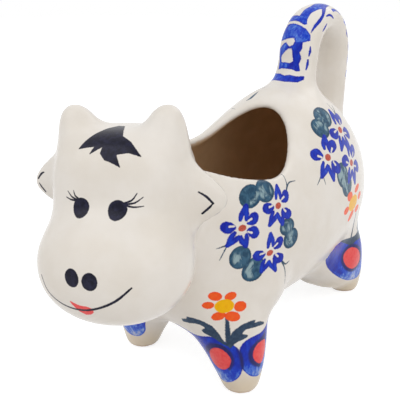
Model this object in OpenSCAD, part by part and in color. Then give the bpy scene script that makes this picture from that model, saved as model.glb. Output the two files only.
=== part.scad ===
/* [Body] */
// Length of the barrel of the body
body_l = 112; // [104:1:122]
// Width of the barrel
body_w = 56; // [50:1:62]
// Height of the belly over the table
belly_z = 12; // [10:0.5:14]
// Height of the widest line of the barrel
waist_z = 39; // [36:0.5:42]
// Height of the back where it dips behind the neck
saddle_z = 70.5; // [67:0.5:74]
// Height that the rump swells to in front of the tail
rump_z = 82; // [78:0.5:85]
// Height that the back swells to behind the neck
withers_z = 83; // [78:0.5:87]
// How far the chest end of the barrel is raised
chest_rise = 3; // [0:0.5:5]
// How much deeper the chest hangs than the belly
chest_drop = 11; // [8:0.5:13]
// Thickness of the fired wall
wall = 3.2; // [2.5:0.1:4]

/* [Opening in the back] */
// Length of the opening, front to back
mouth_l = 51; // [45:0.5:53]
// Width of the opening
mouth_w = 41; // [35:0.5:43]
// Distance of the opening's front end behind the chest end of the barrel
mouth_margin = 5; // [4:0.5:8]

/* [Head] */
// Turn of the head to the cow's left
head_turn = 20; // [0:1:25]
// Tilt of the head that raises its left side
head_tilt = 3; // [0:0.5:5]
// Distance from the chest end of the barrel forward to the axis that the head is turned about
neck_ahead = 3.5; // [2:0.5:5]
// Distance from that axis to the middle of the skull
head_reach = 7.5; // [6:0.5:9]
// Height of the middle of the skull
skull_z = 64.5; // [62:0.5:67]
// Width of the skull
skull_w = 32.5; // [30:0.5:35]
// Depth of the skull, front to back
skull_d = 27; // [24:0.5:30]
// Height of the skull
skull_h = 31; // [29:0.5:33]
// Height of the middle of the muzzle
muzzle_z = 50; // [48:0.5:52]
// Distance of the muzzle's middle ahead of the skull's
muzzle_ahead = 10; // [8:0.5:12]
// Width of the muzzle
muzzle_w = 36.5; // [33:0.5:40]
// Depth of the muzzle
muzzle_d = 29; // [26:0.5:32]
// Height of the muzzle
muzzle_h = 27.5; // [25:0.5:30]
// Width and depth of the neck
neck_w = 27; // [24:0.5:30]
// Height of the neck
neck_h = 30; // [26:0.5:33]
// Diameter of the throat, from the body's hollow to the head's
throat_d = 13.5; // [10:0.5:14]
// Height of the throat's middle over the middle of the muzzle
throat_rise = 1.75; // [1.5:0.25:3]

/* [Horns and ears] */
// Diameter of a horn where it leaves the skull
horn_d = 11.5; // [9:0.5:12.5]
// Height of a horn over the top of the skull
horn_h = 5; // [4:0.25:6.5]
// Distance between the horns' tips
horn_gap = 22.5; // [20:0.5:25]
// Distance between the ears' tips
ear_span = 48; // [44:0.5:52]
// Height of an ear at its root
ear_h = 15; // [12:0.5:17]
// Thickness of an ear at its root
ear_t = 7; // [5.5:0.5:8]
// How much higher the right ear sits than the left one
ear_right_rise = 2.5; // [0:0.5:4]

/* [Legs] */
// Distance between the left and right feet
track = 40; // [36:0.5:43]
// Distance between the front and rear feet
wheelbase = 75; // [70:0.5:78]
// Distance of the feet's middle in front of the barrel's middle
feet_ahead = 2; // [0:0.5:3]
// Diameter of a foot where it stands
foot_d = 8.4; // [7:0.2:10]
// Diameter of a leg near the body
leg_d = 18.5; // [16:0.5:20]
// How far a leg leans towards the cow's middle line from its foot to the body
leg_lean = 9; // [6:0.5:11]
// How far a rear leg leans forwards from its foot to the body
leg_sweep = 7; // [4:0.5:9]

/* [Tail] */
// Height of the top of the tail, which is the height of the whole
tail_z = 106; // [102:0.5:110]
// Distance between the middles of the tail's two strands
tail_span = 26; // [24:0.5:29]
// Distance from the middle of the rear strand to the rear end of the barrel
tail_margin = 7; // [5:0.5:9]
// Width of the tail
tail_w = 14; // [12:0.5:16]
// Thickness of the tail
tail_t = 10; // [8.5:0.5:11]

/* [Hidden] */
glaze = "#e6e0d6";

// Fineness of the forms: points around each ring and rings along each form
body_sides = 56;
body_rings = 22;
cover_rings = 6;
cavity_rings = 16;
lip_steps = 5;
head_sides = 44;
head_rings = 28;
skull_cavity_sides = 24;
skull_cavity_rings = 14;
limb_sides = 24;
tail_sides = 24;
tail_steps = 22;
solve_steps = 16;
half_turn = 180;

function smooth(t) = let(c = max(0, min(1, t))) c * c * (3 - 2 * c);
function turns(n) = [for (i = [0:n - 1]) 360 * i / n];

// Faces of a closed skin: a first point, rings of n points, and a last point
function skin_faces(rings, n) = concat(
    [for (i = [0:n - 1]) [0, 1 + i, 1 + (i + 1) % n]],
    [for (j = [0:rings - 2]) for (i = [0:n - 1]) let(
        a = 1 + j * n + i,
        b = 1 + j * n + (i + 1) % n
    ) each [[a, a + n, b], [b, a + n, b + n]]],
    [for (i = [0:n - 1]) [1 + rings * n, 1 + (rings - 1) * n + (i + 1) % n, 1 + (rings - 1) * n + i]]
);
module skin(first, rings, last) {
    polyhedron(concat([first], [for (r = rings) each r], [last]), skin_faces(len(rings), len(rings[0])));
}

// Round masses of the head in its own frame, -Y forward: middle, half sizes and how square each is
skull_power = 2.9;
muzzle_power = 2.1;
neck_power = 2;
neck_sink_share = 0.25;
skull = [[0, -head_reach, skull_z], [skull_w, skull_d, skull_h] / 2, skull_power];
muzzle = [[0, -head_reach - muzzle_ahead, muzzle_z], [muzzle_w, muzzle_d, muzzle_h] / 2, muzzle_power];
neck = [[0, 0, skull_z - skull_h * neck_sink_share], [neck_w, neck_w, neck_h] / 2, neck_power];
// How sharply the masses meet: more gives a tighter crease
crease = 7;
// Place that the head's rings are seen from, as a share of the way from the skull to the muzzle
head_middle_share = 0.6;
head_middle = skull[0] * (1 - head_middle_share) + muzzle[0] * head_middle_share;
head_far = skull_h + muzzle_h;

// 1 on the surface of a mass that is drawn in by inset, and more outside it
function reach(p, mass, inset) = let(v = p - mass[0], r = mass[1], e = mass[2]) pow(
    pow(abs(v.x) / (r.x - inset), e) + pow(abs(v.y) / (r.y - inset), e) + pow(abs(v.z) / (r.z - inset), e), 1 / e);
function within(p, masses, inset, i = 0) = i == len(masses) ? 0
    : pow(reach(p, masses[i], inset), -crease) + within(p, masses, inset, i + 1);
// Distance from the head's middle in the direction d to where the masses end, halved in on
function solve(d, masses, inset, near, far, steps) = let(mid = (near + far) / 2)
    steps == 0 ? mid
    : within(head_middle + mid * d, masses, inset) > 1 ? solve(d, masses, inset, mid, far, steps - 1)
    : solve(d, masses, inset, near, mid, steps - 1);
function head_point(lat, t, masses, inset) = let(d = [cos(lat) * cos(t), cos(lat) * sin(t), sin(lat)])
    head_middle + d * solve(d, masses, inset, 0, head_far, solve_steps);
function latitude(j, rings) = half_turn * (j / (rings + 1) - 0.5);

// How far the head reaches forward of the axis that it is turned about, along the barrel
function ahead(p) = (p.z - skull_z) * sin(head_tilt) * sin(head_turn) - p.x * cos(head_tilt) * sin(head_turn)
    - p.y * cos(head_turn);
// Turn at which a ring of the head points forwards, and how far past it the foremost point is looked for
forward_turn = 270;
front_margin = 20;
front_points = [for (j = [1:head_rings]) if (latitude(j, head_rings) < 0) for (t = turns(head_sides))
    if (abs(t - forward_turn + head_turn) < head_turn + front_margin)
        head_point(latitude(j, head_rings), t, [skull, muzzle, neck], 0)];
head_front = max([for (p = front_points) ahead(p)]);

// Places along Y: the box of the whole is centred on the origin
neck_from_middle = body_l / 2 + neck_ahead;
body_y = (neck_from_middle + head_front - body_l / 2) / 2;
neck_y = body_y - neck_from_middle;
feet_y = body_y - feet_ahead;
tail_y = body_y + body_l / 2 - tail_margin - tail_span / 2;

// How full the barrel's ends are: 1 is an ellipsoid and less is blunter
fullness = 0.65;
// Stations along the barrel as shares of half its length: where the back dips, how far it takes to rise
// to each end, where the rump starts to fall again, and where the chest starts
dip_share = -0.2;
rear_rise_share = 0.35;
front_rise_share = 0.5;
fall_share = 0.35;
chest_share = 0.35;
// How much of its rise over the dip the rump loses again towards the rear end
fall_by_share = 0.5;

// Height of the back over the barrel's axis, of the axis, and how much of a chest there is, at a
// station s from -1 at the chest end to 1 at the rear end
function back_h(s) = saddle_z - waist_z
    + (rump_z - saddle_z) * smooth((s - dip_share) / rear_rise_share)
    - (rump_z - saddle_z) * fall_by_share * smooth((s - fall_share) / (1 - fall_share))
    + (withers_z - saddle_z) * smooth((dip_share - s) / front_rise_share);
function chest(s) = smooth((-s - chest_share) / (1 - chest_share));
function axis_z(s) = waist_z + chest_rise * chest(s);

// Point of the barrel, drawn in by inset, in the direction d of the unit sphere
function barrel(d, inset) = let(
        section = sqrt(max(0, 1 - d.y * d.y)),
        k = section > 0 ? pow(section, fullness - 1) : 0,
        up = d.z > 0 ? back_h(d.y) : waist_z - belly_z + chest_drop * chest(d.y)
    ) [
        (body_w / 2 - inset) * d.x * k,
        body_y + (body_l / 2 - inset) * d.y,
        axis_z(d.y) + (up - inset) * d.z * k
    ];
// Direction that the barrel carries to a place on its upper side, as seen from above
function above(x, y) = let(
        s = y / (body_l / 2),
        v = x / (body_w / 2) * pow(1 - s * s, (1 - fullness) / 2)
    ) [v, s, sqrt(1 - v * v - s * s)];
// Direction at a share u of the way from p to q
function between(p, q, u) = let(a = acos(p * q)) (sin(a * (1 - u)) * p + sin(a * u) * q) / sin(a);

// Power under 1 that makes the opening's outline a little squarer than an ellipse
mouth_power = 0.9;
mouth_y = mouth_margin + mouth_l / 2 - body_l / 2;
mouth_middle = above(0, mouth_y);
function bow(v) = sign(v) * pow(abs(v), mouth_power);
function rim(t) = above(mouth_w / 2 * bow(cos(t)), mouth_y + mouth_l / 2 * bow(sin(t)));

// A ring of the barrel: share 0 is the belly and share 1 the rim of the opening
function barrel_ring(share, inset) = [for (t = turns(body_sides))
    barrel(between(-mouth_middle, rim(t), share), inset)];
// A ring over the opening: share 0 is the rim and share 1 its middle
function cover_ring(share) = [for (t = turns(body_sides)) barrel(between(rim(t), mouth_middle, share), 0)];
// A ring of the rounded lip: a is 0 at the outside and 180 at the inside
function lip_ring(a) = [for (t = turns(body_sides))
    barrel(between(rim(t), mouth_middle, wall * sin(a) / mouth_w), wall / 2 * (1 - cos(a)))];
outer_rings = [for (j = [1:body_rings]) barrel_ring(j / body_rings, 0)];

// The barrel's outer form with no opening, which trims what is joined to it
module barrel_form() {
    skin(
        barrel(-mouth_middle, 0),
        concat(outer_rings, [for (j = [1:cover_rings - 1]) cover_ring(j / cover_rings)]),
        barrel(mouth_middle, 0)
    );
}
module body_shell() {
    color(glaze) difference() {
        skin(
            barrel(-mouth_middle, 0),
            concat(
                outer_rings,
                [for (k = [1:lip_steps - 1]) lip_ring(half_turn * k / lip_steps)],
                [for (j = [cavity_rings:-1:1]) barrel_ring(j / cavity_rings, wall)]
            ),
            barrel(-mouth_middle, wall)
        );
        throat();
    }
}

module in_head() {
    translate([0, neck_y, skull_z]) rotate([0, -head_tilt, head_turn]) translate([0, 0, -skull_z]) children();
}
module head_blend(masses, inset, rings, sides) {
    skin(
        head_point(-90, 0, masses, inset),
        [for (j = [1:rings]) [for (t = turns(sides)) head_point(latitude(j, rings), t, masses, inset)]],
        head_point(90, 0, masses, inset)
    );
}
module head_form() {
    in_head() head_blend([skull, muzzle, neck], 0, head_rings, head_sides);
}
// Runs along the head's own forward direction, out of the barrel's hollow into the muzzle's
module throat() {
    throat_back = neck_ahead + wall + throat_d;
    in_head() translate([0, throat_back, muzzle_z + throat_rise]) rotate([90, 0, 0])
        cylinder(h = throat_back + head_reach, d = throat_d, $fn = 48);
}
module head_shell() {
    color(glaze) difference() {
        head_form();
        in_head() head_blend([skull, muzzle], wall, skull_cavity_rings, skull_cavity_sides);
        throat();
        barrel_form();
    }
}

// Radius of a horn as a share of its root's and height as a share of its own, from below the root to the tip
horn_share = [
    [1.2, -0.6], [1.1, -0.25], [1, 0], [0.92, 0.18], [0.81, 0.38], [0.69, 0.57], [0.55, 0.75], [0.37, 0.9],
    [0.18, 0.98]
];
horn_lean_share = 0.25;
horn_x = horn_gap / 2 - horn_h * horn_lean_share;
horn_z = skull_z + skull_h / 2 * pow(1 - pow(horn_x / (skull_w / 2), skull_power), 1 / skull_power);
horn_len = skull_z + skull_h / 2 + horn_h - horn_z;
function horn_point(side, s, t) = [
    side * horn_len * s[1] * horn_lean_share + horn_d / 2 * s[0] * cos(t),
    horn_d / 2 * s[0] * sin(t),
    horn_len * s[1]
];
module horn(side) {
    color(glaze) difference() {
        in_head() translate([side * horn_x, -head_reach, horn_z]) skin(
            horn_point(side, [0, horn_share[0][1]], 0),
            [for (s = horn_share) [for (t = turns(limb_sides)) horn_point(side, s, t)]],
            horn_point(side, [0, 1], 0)
        );
        head_form();
    }
}

// Size of an ear as a share of its root's and place as a share of its length, from inside the skull to the tip
ear_share = [
    [1.1, -0.5], [1.06, -0.2], [1, 0], [0.91, 0.22], [0.79, 0.43], [0.64, 0.62], [0.47, 0.78], [0.3, 0.9],
    [0.14, 0.98]
];
ear_root_share = 0.85;
ear_drop_share = 0.12;
ear_x = skull_w / 2 * ear_root_share;
ear_len = ear_span / 2 - ear_x;
function ear_point(side, s, t) = [
    side * ear_len * s[1],
    ear_t / 2 * s[0] * cos(t),
    ear_h / 2 * s[0] * side * sin(t) - ear_len * s[1] * ear_drop_share
];
module ear(side) {
    color(glaze) difference() {
        in_head() translate([side * ear_x, -head_reach, skull_z + (side < 0 ? ear_right_rise : 0)]) skin(
            ear_point(side, [0, ear_share[0][1]], 0),
            [for (s = ear_share) [for (t = turns(limb_sides)) ear_point(side, s, t)]],
            ear_point(side, [0, 1], 0)
        );
        head_form();
    }
}

// Height of a leg's ring as a share of the waist's height and its radius as a share of half its diameter
leg_share = [
    [0.015, 0.54], [0.05, 0.61], [0.12, 0.69], [0.22, 0.82], [0.32, 0.94], [0.42, 1.08], [0.52, 1.21],
    [0.62, 1.29], [0.72, 1.28], [0.82, 1.15], [0.91, 0.85], [0.97, 0.45]
];
// Share of the height at which the lean has its full size, and how late it sets in
lean_share = 0.7;
lean_power = 1.6;
function leg_axis(side, end, share) = let(lean = pow(share / lean_share, lean_power)) [
    side * (track / 2 - leg_lean * lean),
    feet_y + end * wheelbase / 2 - (end > 0 ? leg_sweep * lean : 0),
    waist_z * share
];
function leg_ring(side, end, share, r) = [for (t = turns(limb_sides))
    leg_axis(side, end, share) + r * [cos(t), sin(t), 0]];
module leg(side, end) {
    color(glaze) difference() {
        skin(
            leg_axis(side, end, 0),
            concat(
                [leg_ring(side, end, 0, foot_d / 2)],
                [for (s = leg_share) leg_ring(side, end, s[0], leg_d / 2 * s[1])]
            ),
            leg_axis(side, end, 1)
        );
        barrel_form();
    }
}

// Path of the tail's middle line: up from the back, over a half circle and down into the rump
tail_r = tail_span / 2;
arch_z = tail_z - tail_t / 2 - tail_r;
// Shares of the path at which the half circle starts and ends
arch_start_share = 0.25;
arch_end_share = 0.65;
// Depth of each root under the height of the rump, and how far it is drawn forward
front_root_depth = 14;
rear_root_depth = 30;
front_root_ahead = 5;
rear_root_ahead = 4;
// How much thicker the tail is at its front root and at its rear root
front_flare_share = 0.45;
rear_flare_share = 0.2;
function tail_rise(u) = 1 - min(1, u / arch_start_share);
function tail_fall(u) = max(0, (u - arch_end_share) / (1 - arch_end_share));
function tail_turn(u) = half_turn * max(0, min(1, (u - arch_start_share) / (arch_end_share - arch_start_share)));
function tail_place(u) = [
    0,
    tail_y - tail_r * cos(tail_turn(u)) - front_root_ahead * tail_rise(u) - rear_root_ahead * pow(tail_fall(u), 2),
    arch_z + tail_r * sin(tail_turn(u))
        + (rump_z - front_root_depth - arch_z) * tail_rise(u)
        + (rump_z - rear_root_depth - arch_z) * tail_fall(u)
];
function tail_size(u) = 1 + front_flare_share * pow(tail_rise(u), 2) + rear_flare_share * pow(tail_fall(u), 2);
function tail_ring(u) = [for (t = turns(tail_sides)) let(off = tail_t / 2 * sin(t)) tail_place(u)
    + tail_size(u) * [tail_w / 2 * cos(t), off * cos(tail_turn(u)), -off * sin(tail_turn(u))]];
module tail_handle() {
    color(glaze) difference() {
        skin(tail_place(0), [for (j = [0:tail_steps]) tail_ring(j / tail_steps)], tail_place(1));
        barrel_form();
    }
}

body_shell();
head_shell();
horn(1);  // horn_left
horn(-1);  // horn_right
ear(1);  // ear_left
ear(-1);  // ear_right
leg(1, -1);  // leg_front_left
leg(-1, -1);  // leg_front_right
leg(1, 1);  // leg_rear_left
leg(-1, 1);  // leg_rear_right
tail_handle();
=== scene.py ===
import math

import bpy
import numpy as np
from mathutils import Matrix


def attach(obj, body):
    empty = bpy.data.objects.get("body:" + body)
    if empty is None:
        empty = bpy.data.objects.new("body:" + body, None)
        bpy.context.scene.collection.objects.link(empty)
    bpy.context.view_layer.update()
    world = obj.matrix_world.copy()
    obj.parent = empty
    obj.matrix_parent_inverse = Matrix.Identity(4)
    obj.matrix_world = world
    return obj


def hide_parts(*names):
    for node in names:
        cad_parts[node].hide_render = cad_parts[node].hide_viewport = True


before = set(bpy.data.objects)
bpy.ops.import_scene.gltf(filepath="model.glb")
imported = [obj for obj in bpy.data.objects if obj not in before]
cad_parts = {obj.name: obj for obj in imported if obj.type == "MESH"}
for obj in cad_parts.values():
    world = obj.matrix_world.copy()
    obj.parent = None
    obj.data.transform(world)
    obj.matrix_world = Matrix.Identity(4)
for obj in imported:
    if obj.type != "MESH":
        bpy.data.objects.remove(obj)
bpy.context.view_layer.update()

import openvdb as vdb
from mathutils import Matrix, Vector
from numpy.linalg import norm

MM = 0.001
# Steps of the grid that holds the distances and of the first mesh taken from it, in millimetres
VOXEL = 0.6
MESH_STEP = 1.0

# The clay body, in millimetres. Sizes are named after those in part.scad
BODY_Y, BODY_L, BODY_W = 17.437, 112.0, 56.0
BELLY, WAIST, SADDLE, RUMP, WITHERS = 12.0, 39.0, 70.5, 82.0, 83.0
CHEST_RISE, CHEST_DROP, WALL = 3.0, 11.0, 3.2
FULL, DIP, REAR_DIP, REAR_RISE = 0.65, -0.2, -0.4, 0.75
FRONT_RISE, FALL, FALL_BY, CHEST = 0.5, 0.35, 0.5, 0.35
# The opening: its rim is slanted, set to one side and drawn in a little in two of its quarters
MOUTH_L, MOUTH_W, MOUTH_MARGIN, MOUTH_AHEAD, MOUTH_SIDE = 52.9, 39.2, 4.5, 3.0, 1.6
MOUTH_SLANT, MOUTH_PULL = 2.6, 0.025
CUT_BELOW, CUT_ABOVE = WALL + 3, -7
NECK_Y, HEAD_TURN, HEAD_TILT, HEAD_REACH, SKULL_Z = -42.063, 20.0, 3.0, 7.5, 64.5
# Middle, half sizes and power of the masses of the head
SKULL = ((0, -7.5, 64.5), (16.25, 13.5, 15.5), 2.9)
MUZZLE = ((0, -17.5, 50.0), (18.25, 14.5, 13.75), 2.1)
NECK = ((0, 0, 56.75), (13.5, 13.5, 15.0), 2.0)
NECK_AXIS = np.array([0.342, -0.94, 0.0])
CREASE, THROAT_D, THROAT_Z, THROAT_ENDS = 7.0, 13.5, 51.75, (20.2, -7.5)
HORN_D, HORN_H, HORN_GAP, HORN_LEAN, HORN_SET = 11.5, 5.0, 22.5, 0.25, 0.35
EAR_REACH, EAR_ROOT, EAR_T, EAR_HALF_H, EAR_DROOP, EAR_RIGHT_RISE = 25.1, 0.85, 7.0, 7.9, 0.12, 2.5
FEET_Y, TRACK, WHEELBASE = 15.437, 40.0, 75.0
LEG_D, LEG_LEAN, LEG_SWEEP, LEG_IN, LEG_AHEAD = 18.5, 8.25, 7, 0.75, 0.55
LEG_BEND_AT, LEG_BEND = 0.7, 1.6
TAIL_Y, TAIL_Z, TAIL_SPAN, TAIL_W, TAIL_T = 53.437, 106.0, 26.0, 14.0, 10.0
TAIL_R = TAIL_SPAN / 2
ARCH_Z = TAIL_Z - TAIL_T / 2 - TAIL_R
# The tail's front end, arch and rear end: shares of its run, spread, depth in the body and flare
RISE_SHARE, ARCH_SHARE, FALL_SHARE = 0.25, 0.4, 0.35
FRONT_OUT, REAR_OUT, FRONT_DEPTH, REAR_DEPTH, FRONT_FLARE, REAR_FLARE = 5, 4, 14, 30, 0.45, 0.2

LOW = np.array([-33.0, -78.0, -5.0])
HIGH = np.array([33.0, 78.0, 111.0])
DIMS = np.ceil((HIGH - LOW) / VOXEL).astype(int) + 1
GRID = vdb.createLinearTransform(VOXEL)
IJK0 = np.round(LOW / VOXEL).astype(int)
LOW = IJK0 * VOXEL


def smooth(t):
    c = np.clip(t, 0, 1)
    return c * c * (3 - 2 * c)


def back_h(s):
    return (SADDLE - WAIST + (RUMP - SADDLE) * smooth((s - REAR_DIP) / REAR_RISE)
            - (RUMP - SADDLE) * FALL_BY * smooth((s - FALL) / (1 - FALL))
            + (WITHERS - SADDLE) * smooth((DIP - s) / FRONT_RISE))


def barrel(d, inset):
    sec = np.sqrt(np.maximum(0, 1 - d[..., 1] ** 2))
    k = np.where(sec > 0, np.maximum(sec, 1e-9) ** (FULL - 1), 0)
    chest = smooth((-d[..., 1] - CHEST) / (1 - CHEST))
    up = np.where(d[..., 2] > 0, back_h(d[..., 1]), WAIST - BELLY + CHEST_DROP * chest)
    return np.stack([(BODY_W / 2 - inset) * d[..., 0] * k, BODY_Y + (BODY_L / 2 - inset) * d[..., 1],
                     WAIST + CHEST_RISE * chest + (up - inset) * d[..., 2] * k], -1)


def above(x, y):
    s = y / (BODY_L / 2)
    v = x / (BODY_W / 2) * (1 - s * s) ** ((1 - FULL) / 2)
    return np.stack([v, s, np.sqrt(np.maximum(0, 1 - v * v - s * s))], -1)


def between(p, q, u):
    a = np.arccos(np.clip((p * q).sum(-1, keepdims=True), -1, 1))
    return (np.sin(a * (1 - u)) * p + np.sin(a * u) * q) / np.sin(a)


def skin(first, rings, last):
    """A closed mesh from a first point, rings of points and a last point."""
    count, n = rings.shape[:2]
    pts = np.concatenate([[first], rings.reshape(-1, 3), [last]])
    i = np.arange(n)
    k = (i + 1) % n
    a = 1 + n * np.arange(count)[:, None]
    quads = np.stack([a + i, a + n + i, a + n + k, a + k], -1)[:-1].reshape(-1, 4)
    ends = np.stack([0 * i, 1 + i, 1 + k], 1), np.stack([0 * i + len(pts) - 1, a[-1] + k, a[-1] + i], 1)
    return pts.astype(np.float32), np.concatenate(ends).astype(np.uint32), quads.astype(np.uint32)


def field(mesh, band):
    """Signed distance to a closed mesh on the shared grid, right to the given band."""
    pts, tris, quads = mesh
    g = vdb.FloatGrid.createLevelSetFromPolygons(pts, triangles=tris, quads=quads, transform=GRID,
                                                 exBandWidth=band / VOXEL, inBandWidth=band / VOXEL)
    out = np.zeros(DIMS, np.float32)
    g.copyToArray(out, ijk=tuple(IJK0.tolist()))
    return out


def pairs(*numbers):
    """Points of a plane, or rows of two, from a row of numbers."""
    return np.array(numbers, float).reshape(-1, 2)


def round_turns(count):
    return np.linspace(0, 2 * math.pi, count, endpoint=False)


def barrel_mesh(inset):
    half, sides, crowding = 56, 144, 1.4
    w = np.linspace(0, 1, half)[1:] ** crowding * math.pi / 2
    ang = np.concatenate([w, math.pi - w[::-1][1:]])
    t = round_turns(sides)
    d = np.stack(np.broadcast_arrays(np.sin(ang)[:, None] * np.cos(t), -np.cos(ang)[:, None] + 0 * t,
                                     np.sin(ang)[:, None] * np.sin(t)), -1)
    ends = barrel(np.array([[0, -1.0, 0], [0, 1.0, 0]]), inset)
    return skin(ends[0], barrel(d, inset), ends[1])


def plug_mesh():
    """What is cut away through the opening, from the hollow to well over the back."""
    t = round_turns(120)
    mid_y = MOUTH_MARGIN + MOUTH_L / 2 - BODY_L / 2
    mid = above(np.array(MOUTH_SIDE), np.array(mid_y))
    pull = 1 - MOUTH_PULL * np.maximum(0, np.sin(2 * t))
    rim = above(MOUTH_SIDE + MOUTH_W / 2 * pull * np.cos(t),
                mid_y + MOUTH_L / 2 * pull * np.sin(t) - MOUTH_AHEAD * np.cos(t) ** 2
                + MOUTH_SLANT * np.cos(t))
    inner = between(rim, mid, WALL / MOUTH_W)
    rings = np.stack([barrel(inner, i) for i in np.linspace(CUT_BELOW, CUT_ABOVE, 12)])
    return skin(barrel(mid, CUT_BELOW), rings, barrel(mid, CUT_ABOVE))


# The head's own frame: -Y forward, turned and tilted about the neck
_t, _a = math.radians(HEAD_TURN), math.radians(-HEAD_TILT)
HEAD_R = (np.array([[math.cos(_t), -math.sin(_t), 0], [math.sin(_t), math.cos(_t), 0], [0, 0, 1]])
          @ np.array([[math.cos(_a), 0, math.sin(_a)], [0, 1, 0], [-math.sin(_a), 0, math.cos(_a)]]))
HEAD_O = np.array([0, NECK_Y, SKULL_Z])


def from_head(p):
    return (p - [0, 0, SKULL_Z]) @ HEAD_R.T + HEAD_O


def to_head(p):
    return (p - HEAD_O) @ HEAD_R + [0, 0, SKULL_Z]


def head_skin(rings):
    """A closed mesh in the object's frame from rings in the head's."""
    return skin(from_head(rings[0].mean(0)), from_head(rings), from_head(rings[-1].mean(0)))


def head_mesh(masses, inset):
    """The blend of the head's masses, found along rays from its middle."""
    def inside(p):
        total = 0
        for mid, r, e in masses:
            v = np.abs(p - np.array(mid)) / (np.array(r) - inset)
            total = total + (v ** e).sum(-1) ** (-CREASE / e)
        return total > 1
    centre = np.array(SKULL[0]) * 0.4 + np.array(MUZZLE[0]) * 0.6
    lat = np.radians(np.linspace(-90, 90, 132)[1:-1])[:, None]
    t = round_turns(160)
    d = np.stack(np.broadcast_arrays(np.cos(lat) * np.cos(t), np.cos(lat) * np.sin(t), np.sin(lat)), -1)
    farthest, halvings = 60.0, 22
    lo, hi = np.zeros(d.shape[:2]), np.full(d.shape[:2], farthest)
    for _ in range(halvings):
        mid = (lo + hi) / 2
        ok = inside(centre + d * mid[..., None])
        lo, hi = np.where(ok, mid, lo), np.where(ok, hi, mid)
    return head_skin(centre + d * lo[..., None])


def throat_mesh():
    t = round_turns(64)
    x, z = THROAT_D / 2 * np.cos(t), THROAT_Z - THROAT_D / 2 * np.sin(t)
    ys = np.linspace(*THROAT_ENDS, 12)
    return head_skin(np.stack([np.stack([x, np.full_like(t, y), z], -1) for y in ys]))


def spline(x, xs, ys):
    """Smooth curve through points: Catmull-Rom on uneven steps."""
    xs, ys = np.asarray(xs, float), np.asarray(ys, float)
    m = np.gradient(ys, xs)
    i = np.clip(np.searchsorted(xs, x) - 1, 0, len(xs) - 2)
    h = xs[i + 1] - xs[i]
    u = (x - xs[i]) / h
    return ((2 * u ** 3 - 3 * u ** 2 + 1) * ys[i] + (u ** 3 - 2 * u ** 2 + u) * h * m[i]
            + (-2 * u ** 3 + 3 * u ** 2) * ys[i + 1] + (u ** 3 - u ** 2) * h * m[i + 1])


# Share of the width and of the height, from the root to the tip
HORN = pairs(1.1, -0.6, 1.02, -0.25, 0.94, 0, 0.875, 0.18, 0.785, 0.38, 0.68, 0.57, 0.55, 0.75, 0.37, 0.9,
             0.18, 0.98, 0.04, 1.0)
EAR = pairs(1.1, -0.5, 1.06, -0.2, 1, 0, 0.91, 0.22, 0.79, 0.43, 0.64, 0.62, 0.47, 0.78, 0.3, 0.9,
            0.14, 0.98, 0.03, 1.0)


def along(share):
    """The two columns of a table of shares on 40 even steps."""
    u, s = np.linspace(0, 1, 40), np.linspace(0, 1, len(share))
    return spline(u, s, share[:, 0]), spline(u, s, share[:, 1])


def horn_mesh(side):
    (skull_x, _, skull_z), power = SKULL[1:]
    hx = HORN_GAP / 2 - HORN_H * HORN_LEAN
    hz = SKULL_Z + skull_z * (1 - (hx / skull_x) ** power) ** (1 / power)
    hl = SKULL_Z + skull_z + HORN_H - hz
    width, height = along(HORN)
    r, z = (width * HORN_D / 2)[:, None], (height * hl)[:, None]
    t = round_turns(72)
    x = side * (hx + HORN_SET - HORN_SET * z / hl) + side * z * HORN_LEAN + r * np.cos(t)
    return head_skin(np.stack([x, -HEAD_REACH + r * np.sin(t), hz + z + 0 * t], -1))


def ear_mesh(side):
    ex = SKULL[1][0] * EAR_ROOT
    width, reach = along(EAR)
    r, x = width[:, None], (reach * (EAR_REACH - ex))[:, None]
    t = round_turns(72)
    rise = EAR_RIGHT_RISE if side < 0 else 0.0
    return head_skin(np.stack([side * (ex + x) + 0 * t, -HEAD_REACH + EAR_T / 2 * r * np.cos(t),
                               SKULL_Z + rise + EAR_HALF_H * r * side * np.sin(t) - x * EAR_DROOP], -1))


# Share of the height up to the waist and of the leg's width
LEG = pairs(0.0, 0.43, 0.015, 0.51, 0.05, 0.58, 0.12, 0.675, 0.22, 0.815, 0.32, 0.94, 0.42, 1.08, 0.52, 1.21,
            0.62, 1.29, 0.72, 1.28, 0.82, 1.15, 0.91, 0.85, 0.97, 0.45)


def leg_axis(side, end, share):
    lean = (share / LEG_BEND_AT) ** LEG_BEND
    sweep = LEG_SWEEP if end > 0 else 0
    return np.stack([side * (TRACK / 2 - LEG_IN - LEG_LEAN * lean),
                     FEET_Y - LEG_AHEAD + end * WHEELBASE / 2 - sweep * lean, WAIST * share], -1)


def leg_mesh(side, end):
    u = np.linspace(0, LEG[-1, 0], 70)
    r = spline(u, LEG[:, 0], LEG[:, 1]) * LEG_D / 2
    t = round_turns(96)
    turn = np.stack([np.cos(t), np.sin(t), 0 * t], -1)
    rings = leg_axis(side, end, u)[:, None, :] + r[:, None, None] * turn
    return skin(leg_axis(side, end, np.array(0.0)), rings, leg_axis(side, end, np.array(1.0)))


def tail_frame(u):
    """Place, turn and size of the tail's section at a share of its run."""
    rise = 1 - np.minimum(1, u / RISE_SHARE)
    fall = np.maximum(0, (u - RISE_SHARE - ARCH_SHARE) / FALL_SHARE)
    turn = np.pi * np.clip((u - RISE_SHARE) / ARCH_SHARE, 0, 1)
    place = np.stack([0 * u, TAIL_Y - TAIL_R * np.cos(turn) - FRONT_OUT * rise - REAR_OUT * fall ** 2,
                      ARCH_Z + TAIL_R * np.sin(turn) + (RUMP - FRONT_DEPTH - ARCH_Z) * rise
                      + (RUMP - REAR_DEPTH - ARCH_Z) * fall], -1)
    return place, turn, 1 + FRONT_FLARE * rise ** 2 + REAR_FLARE * fall ** 2


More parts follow.
